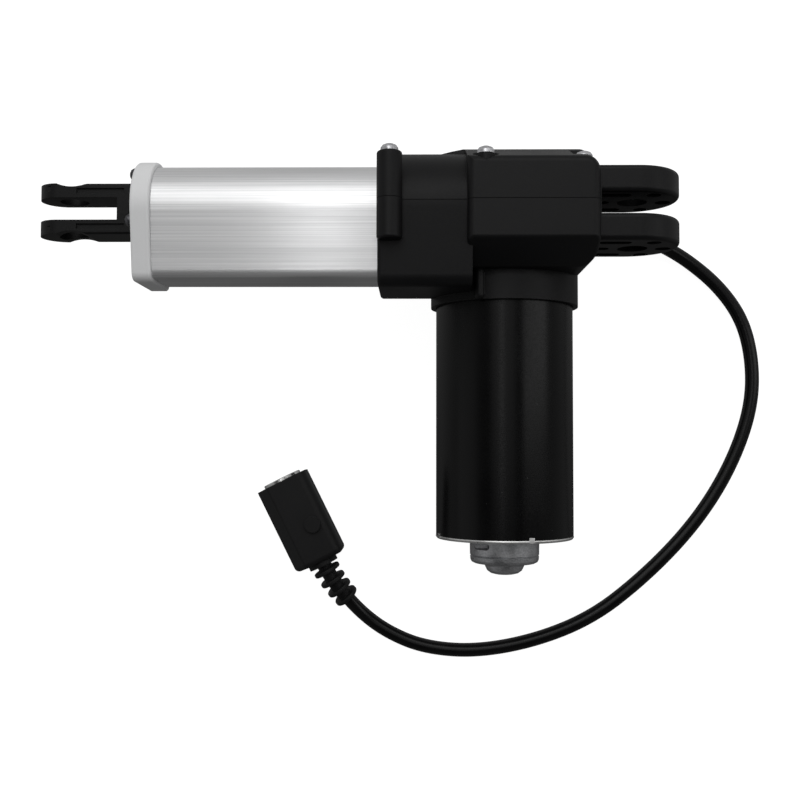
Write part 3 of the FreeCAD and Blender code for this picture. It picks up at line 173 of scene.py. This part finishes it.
def colour(red, green, blue):
    return (red, green, blue, 1.0)


# Where most of a noise's values lie: the middle of its range, and a wider span.
MIDDLE = (0.3, 0.7)
SPAN = (0.25, 0.75)

# How far paler tones replace the base: in cloudy patches, in specks and along edges.
CLOUD_SHARE = 0.35
SPECK_SHARE = 0.5
RIM_SHARE = 0.45
METAL_RIM_SHARE = 0.7


# ---- finishes --------------------------------------------------------------------------

def moulded(name, base, worn, rough, grain=2600.0, depth=0.035, level=0.2, edge=0.35):
    """Moulded plastic: fine texture, faint flow marks, paler and smoother edges."""
    skin = Finish(name, Specular_IOR_Level=level)
    cloud = skin.noise(38.0, 3.0)
    fine = skin.noise(grain, 3.0)
    rim = skin.edges(edge * MM)
    shade = skin.mix(skin.spread(cloud, *MIDDLE, 0.0, CLOUD_SHARE), base, worn)
    speckled = skin.mix(skin.spread(fine, 0.45, 0.75, 0.0, SPECK_SHARE), shade, worn)
    skin.drive("Base Color", skin.mix(skin.spread(rim, 0.0, 1.0, 0.0, RIM_SHARE), speckled, worn))
    texture = skin.combine(skin.spread(fine, 0.2, 0.8, -0.08, 0.08),
                           skin.spread(cloud, *MIDDLE, rough - 0.04, rough + 0.05))
    skin.drive("Roughness", skin.combine(texture, skin.spread(rim, 0.0, 1.0, 0.0, 0.1),
                                         "SUBTRACT"))
    skin.drive("Normal", skin.relief(fine, depth * MM, 1.0, skin.rounded(edge * MM)))
    return skin


def black_shell():
    """The two half shells: moulded, with a thin line of painted shade where they meet at y = 0.
    """
    skin = moulded("black_shell", colour(0.003, 0.003, 0.0034), colour(0.009, 0.009, 0.0097),
                   0.46)
    across = skin.node("ShaderNodeSeparateXYZ", {0: skin.spot}).outputs["Y"]
    away = skin.combine(across, 0.0, "ABSOLUTE")
    # Painted seam shade: within 0.1 mm of y = 0 the base goes near black, fading out by 0.2 mm,
    # and the roughness rises there.
    clear_of_seam_shade = skin.spread(away, 0.10 * MM, 0.20 * MM)
    tone, rough = skin.driver("Base Color"), skin.driver("Roughness")
    skin.drive("Base Color", skin.mix(clear_of_seam_shade, colour(0.0008, 0.0008, 0.0008), tone))
    skin.drive("Roughness", skin.combine(rough, skin.spread(clear_of_seam_shade, 0.0, 1.0, 0.5, 0.0)))
    return skin


def black_clevis():
    return moulded("black_clevis", colour(0.003, 0.003, 0.0034), colour(0.009, 0.009, 0.0097),
                   0.42, grain=1900.0)


def black_fork():
    return moulded("black_fork", colour(0.002, 0.002, 0.0022), colour(0.008, 0.008, 0.0085),
                   0.4, grain=2100.0)


def plug_black():
    return moulded("plug_black", colour(0.006, 0.006, 0.0063), colour(0.014, 0.014, 0.0145),
                   0.52, grain=3200.0, depth=0.03, edge=0.5)


def grey_cap():
    """Light grey cap: even satin with slight mottling."""
    return moulded("grey_cap", colour(0.86, 0.865, 0.87), colour(0.93, 0.935, 0.94), 0.33,
                   grain=3000.0, depth=0.015, level=0.45, edge=0.4)


def white_plastic():
    return moulded("white_plastic", colour(0.62, 0.60, 0.52), colour(0.72, 0.70, 0.63), 0.4,
                   grain=1500.0, depth=0.01, level=0.5)


def board_part():
    return moulded("board_part", colour(0.02, 0.02, 0.022), colour(0.05, 0.05, 0.052), 0.45)


def board_green():
    return moulded("board_green", colour(0.01, 0.09, 0.035), colour(0.02, 0.14, 0.06), 0.3,
                   grain=700.0, depth=0.01, level=0.5)


def black_rubber():
    return moulded("black_rubber", colour(0.006, 0.006, 0.006), colour(0.015, 0.015, 0.015),
                   0.6, grain=1800.0)


def cable_black():
    """Smooth vinyl jacket with a faint extrusion grain."""
    skin = Finish("cable_black", Specular_IOR_Level=0.22)
    fine = skin.noise(2200.0, 2.0)
    cloud = skin.noise(90.0, 2.0)
    skin.drive("Base Color", skin.mix(skin.spread(cloud, *MIDDLE), colour(0.0015, 0.0015, 0.0017),
                                      colour(0.004, 0.004, 0.0042)))
    skin.drive("Roughness", skin.spread(fine, *SPAN, 0.22, 0.32))
    skin.drive("Normal", skin.relief(fine, 0.012 * MM))
    return skin


def brushed_profile():
    """Drawn aluminium: fine lines along X that catch the light across the profile."""
    skin = Finish("brushed_profile", Metallic=1.0, Anisotropic=0.94)
    hair = skin.noise(1.0, 3.0, skin.stretched((7.0, 5200.0, 5200.0)))
    streak = skin.noise(1.0, 2.0, skin.stretched((9.0, 1500.0, 1500.0)))
    band = skin.noise(1.0, 1.0, skin.stretched((14.0, 90.0, 90.0)))
    both = skin.combine(skin.combine(hair, streak), 0.5, "MULTIPLY")
    pale, deep = colour(0.90, 0.90, 0.905), colour(0.64, 0.645, 0.65)
    skin.drive("Base Color", skin.mix(skin.spread(both, 0.34, 0.66), deep, pale))
    skin.drive("Roughness", skin.combine(skin.spread(both, *MIDDLE, 0.35, 0.28),
                                         skin.spread(band, *MIDDLE, -0.02, 0.03)))
    skin.drive("Normal", skin.relief(hair, 0.011 * MM, 0.8, skin.rounded(0.3 * MM)))
    tangent = skin.node("ShaderNodeTangent", direction_type="RADIAL", axis="X")
    skin.drive("Tangent", tangent.outputs["Tangent"])
    return skin


def metal(name, base, worn, rough, grain=900.0, depth=0.008, edge=0.2, stretch=None):
    """Worked metal: mottled tone, tool marks and brighter edges."""
    skin = Finish(name, Metallic=1.0)
    spot = skin.stretched(stretch) if stretch else skin.spot
    fine = skin.noise(1.0 if stretch else grain, 3.0, spot)
    cloud = skin.noise(120.0, 2.0)
    rim = skin.edges(edge * MM)
    shade = skin.mix(skin.spread(skin.combine(fine, cloud), 0.7, 1.3), base, worn)
    skin.drive("Base Color", skin.mix(skin.spread(rim, 0.0, 1.0, 0.0, METAL_RIM_SHARE), shade,
                                      worn))
    skin.drive("Roughness", skin.combine(skin.spread(fine, *SPAN, -0.07, 0.07),
                                         skin.spread(cloud, *MIDDLE, rough - 0.03, rough + 0.05)))
    skin.drive("Normal", skin.relief(fine, depth * MM, 0.8, skin.rounded(edge * MM)))
    return skin


def black_paint():
    """Satin black paint on drawn steel: slight orange peel, a few dust specks."""
    skin = Finish("black_paint", Specular_IOR_Level=0.17)
    peel = skin.noise(900.0, 2.0)
    cloud = skin.noise(30.0, 3.0)
    speck = skin.node("ShaderNodeTexVoronoi", {"Vector": skin.spot, "Scale": 150.0})
    dust = skin.spread(speck.outputs["Distance"], 0.035, 0.02)
    black = skin.mix(skin.spread(cloud, *MIDDLE), colour(0.0006, 0.0006, 0.0007),
                     colour(0.0016, 0.0016, 0.0018))
    skin.drive("Base Color", skin.mix(skin.spread(dust, 0.0, 1.0, 0.0, 0.25), black,
                                      colour(0.25, 0.25, 0.26)))
    skin.drive("Roughness", skin.combine(skin.spread(peel, *SPAN, 0.22, 0.29),
                                         skin.spread(cloud, *MIDDLE, -0.03, 0.04)))
    skin.drive("Normal", skin.relief(peel, 0.012 * MM, 0.8, skin.rounded(0.4 * MM)))
    return skin


def screw_steel():
    return metal("screw_steel", colour(0.48, 0.48, 0.50), colour(0.80, 0.80, 0.82), 0.26)


def dark_screw():
    return metal("dark_screw", colour(0.05, 0.05, 0.055), colour(0.16, 0.16, 0.17), 0.36)


def bright_plate():
    return metal("bright_plate", colour(0.58, 0.58, 0.57), colour(0.78, 0.78, 0.77), 0.32,
                 grain=500.0)


def cast_boss():
    return metal("cast_boss", colour(0.27, 0.275, 0.285), colour(0.58, 0.585, 0.60), 0.4,
                 grain=1400.0, depth=0.02)


def rod_steel():
    return metal("rod_steel", colour(0.56, 0.56, 0.57), colour(0.66, 0.66, 0.67), 0.2,
                 depth=0.002, stretch=(1800.0, 30.0, 30.0))


def spindle_steel():
    return metal("spindle_steel", colour(0.36, 0.36, 0.37), colour(0.56, 0.56, 0.57), 0.3)


def bearing_steel():
    return metal("bearing_steel", colour(0.55, 0.55, 0.57), colour(0.72, 0.72, 0.74), 0.14)


def sintered_bronze():
    return metal("sintered_bronze", colour(0.42, 0.28, 0.12), colour(0.60, 0.43, 0.22), 0.42,
                 grain=2200.0, depth=0.02)


def ferrite():
    return moulded("ferrite", colour(0.03, 0.03, 0.033), colour(0.08, 0.08, 0.085), 0.45,
                   grain=1200.0)


def lamination():
    return metal("lamination", colour(0.22, 0.22, 0.24), colour(0.40, 0.40, 0.42), 0.35,
                 stretch=(30.0, 2000.0, 30.0))


def copper():
    return metal("copper", colour(0.48, 0.17, 0.07), colour(0.72, 0.33, 0.16), 0.28,
                 stretch=(60.0, 1500.0, 60.0))


def carbon():
    return moulded("carbon", colour(0.015, 0.015, 0.015), colour(0.04, 0.04, 0.04), 0.5)


def shield_nickel():
    return metal("shield_nickel", colour(0.56, 0.56, 0.55), colour(0.78, 0.78, 0.77), 0.2)


def contact_gold():
    return metal("contact_gold", colour(0.62, 0.43, 0.16), colour(0.82, 0.63, 0.30), 0.22)


# Each finish is named after the record's material slot that it dresses.
FINISHES = (
    black_shell, black_clevis, black_fork, plug_black, grey_cap, white_plastic, board_part,
    board_green, black_rubber, cable_black, brushed_profile, black_paint, screw_steel,
    dark_screw, bright_plate, cast_boss, rod_steel, spindle_steel, bearing_steel,
    sintered_bronze, ferrite, lamination, copper, carbon, shield_nickel, contact_gold,
)


def dress_nodes():
    """Gives every CAD node the finish of its slot in the record."""
    made = {finish.__name__: finish().material for finish in FINISHES}
    for part in frame["record"]["subparts"]:
        node = frame["nodes"][part["node"]]
        skin = made[part["material_slot"]]
        for place in node.material_slots:
            place.material = skin
        if not node.material_slots:
            node.data.materials.append(skin)
    return made


# ---- cable -----------------------------------------------------------------------------

# The cable's route in millimetres, from its boot on the housing to the connector's sleeve.
CABLE_ROUTE = [
    (3, 0, -47), (13, 0, -47), (25, -4, -50.6), (38, -11, -53.15), (52, -23, -53.15),
    (62.5, -38, -53.15), (67, -56, -53.15), (67, -76, -53.15), (61, -97, -53.15),
    (50, -119, -53.15), (35, -139.5, -53.15), (14.5, -160, -53.15), (-8, -177.5, -53.15),
    (-34, -188.3, -53.15), (-62, -193.7, -53.15), (-86, -192, -53.15), (-103, -185.3, -53.15),
    (-116.4, -175.7, -53.15), (-122.3, -168.3, -50.3),
]
CABLE_THICK = 6.3 * MM


def make_cable(skin):
    data = bpy.data.curves.new("cable", "CURVE")
    data.dimensions = "3D"
    spline = data.splines.new("NURBS")
    spline.points.add(len(CABLE_ROUTE) - 1)
    for point, place in zip(spline.points, CABLE_ROUTE):
        point.co = (*(Vector(place) * MM), 1.0)
    spline.order_u = 3
    spline.use_endpoint_u = True
    spline.use_smooth = True
    data.resolution_u = 16
    data.bevel_depth = CABLE_THICK / 2
    data.bevel_resolution = 8
    data.use_fill_caps = True
    data.materials.append(skin)
    cable = bpy.data.objects.new("cable", data)
    scene.collection.objects.link(cable)
    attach(cable, "housing")
    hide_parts("power_cable")


# ---- floor and light -------------------------------------------------------------------

# The room's brightness overhead, and what each side adds: the axis of its direction, where
# along that axis it starts, where it is full, and how bright it is there.
SKY_DIM = 0.05
SKY_SIDES = [("Y", 0.0, 0.6, 0.38), ("Y", -0.2, -1.0, 0.10), ("X", 0.6, 1.0, 0.22),
             ("X", -0.5, -1.0, 0.24)]

# The floor's radius, the curve that leads up from it and the backdrop's top, in metres.
FLOOR_RADIUS = 1.5
CURVE_RADIUS = 0.6
WALL_TOP = 2.6
ROUND_STEPS = 96
CURVE_STEPS = 12

# Soft boxes: name, place, width and height, power in watts, and the point that each faces.
BODY = (-0.09, -0.07, 0.0)
SOFT_BOXES = [
    ("key", (-0.10, 0.76, 1.0), (1.5, 0.75), 4.5, BODY),
    ("side", (1.0, 0.1, 0.95), (0.35, 1.1), 2.1, BODY),
    ("above", (-0.2, 0.25, 1.25), (0.9, 0.9), 1.4, (-0.2, 0.25, 0.0)),
    ("strip", (-0.235, 0.25, 1.2), (0.07, 0.9), 0.5, (-0.235, 0.25, 0.0)),
    ("left", (-1.2, -0.25, 0.45), (0.6, 0.8), 0.4, BODY),
]


def stage_piece(name, outline, skin):
    """A smooth round surface from an outline of radius and height, hidden from glossy and diffuse
    rays.
    """
    mesh = bpy.data.meshes.new(name)
    turns = [math.tau * step / ROUND_STEPS for step in range(ROUND_STEPS)]
    points = [(radius * math.cos(turn), radius * math.sin(turn), FLOOR_Z + height)
              for radius, height in outline for turn in turns]
    ring = list(range(ROUND_STEPS))
    faces = [ring] if len(outline) == 1 else []
    for low in range(0, len(points) - ROUND_STEPS, ROUND_STEPS):
        for here, there in zip(ring, ring[1:] + ring[:1]):
            faces.append((low + here, low + there, low + there + ROUND_STEPS,
                          low + here + ROUND_STEPS))
    mesh.from_pydata(points, [], faces)
    mesh.polygons.foreach_set("use_smooth", [True] * len(faces))
    mesh.materials.append(skin)
    piece = bpy.data.objects.new(name, mesh)
    scene.collection.objects.link(piece)
    piece.visible_glossy = False
    piece.visible_diffuse = False
    return piece


def make_floor():
    """A round floor and a backdrop that curves up from its edge."""
    skin = Finish("pale_floor", Specular_IOR_Level=0.0, Roughness=0.8, Emission_Strength=0.96,
                  Emission_Color=colour(1.0, 1.0, 1.0))
    cloud = skin.noise(4.0, 2.0)
    skin.drive("Base Color", skin.mix(cloud, colour(0.28, 0.28, 0.28),
                                      colour(0.30, 0.30, 0.30)))
    stage_piece("floor", [(FLOOR_RADIUS, 0.0)], skin.material)
    curve = [math.radians(90 * step / CURVE_STEPS) for step in range(CURVE_STEPS + 1)]
    rise = [(FLOOR_RADIUS + CURVE_RADIUS * math.sin(angle),
             CURVE_RADIUS * (1 - math.cos(angle))) for angle in curve]
    wall = stage_piece("backdrop", rise + [(FLOOR_RADIUS + CURVE_RADIUS, WALL_TOP)],
                       skin.material)
    wall.visible_shadow = False


def soft_box(name, place, size, power, aim):
    """A rectangular light that faces a point."""
    data = bpy.data.lights.new(name, "AREA")
    data.shape = "RECTANGLE"
    data.size, data.size_y = size
    data.energy = power
    light = bpy.data.objects.new(name, data)
    scene.collection.objects.link(light)
    light.location = place
    light.rotation_euler = (Vector(aim) - Vector(place)).to_track_quat("-Z", "Y").to_euler()


def make_sky():
    """A studio: bright on the far side, pale to the left and right, dim overhead."""
    world = bpy.data.worlds.new("room")
    world.use_nodes = True
    tree = world.node_tree
    heading = tree.nodes.new("ShaderNodeSeparateXYZ")
    tree.links.new(tree.nodes.new("ShaderNodeTexCoord").outputs["Generated"],
                   heading.inputs[0])
    total = None
    for axis, start, full, strength in SKY_SIDES:
        side = tree.nodes.new("ShaderNodeMapRange")
        tree.links.new(heading.outputs[axis], side.inputs["Value"])
        for socket, value in (("From Min", start), ("From Max", full), ("To Min", 0.0),
                              ("To Max", strength)):
            side.inputs[socket].default_value = value
        both = tree.nodes.new("ShaderNodeMath")
        both.inputs[0].default_value = SKY_DIM
        if total is not None:
            tree.links.new(total, both.inputs[0])
        tree.links.new(side.outputs["Result"], both.inputs[1])
        total = both.outputs[0]
    back = tree.nodes["Background"]
    back.inputs["Color"].default_value = colour(1.0, 1.0, 1.0)
    tree.links.new(total, back.inputs["Strength"])
    scene.world = world


def make_light():
    make_sky()
    for box in SOFT_BOXES:
        soft_box(*box)


# ---- build -----------------------------------------------------------------------------

scene.view_settings.view_transform = "Standard"
make_camera()
finishes = dress_nodes()
make_cable(finishes["cable_black"])
make_floor()
make_light()
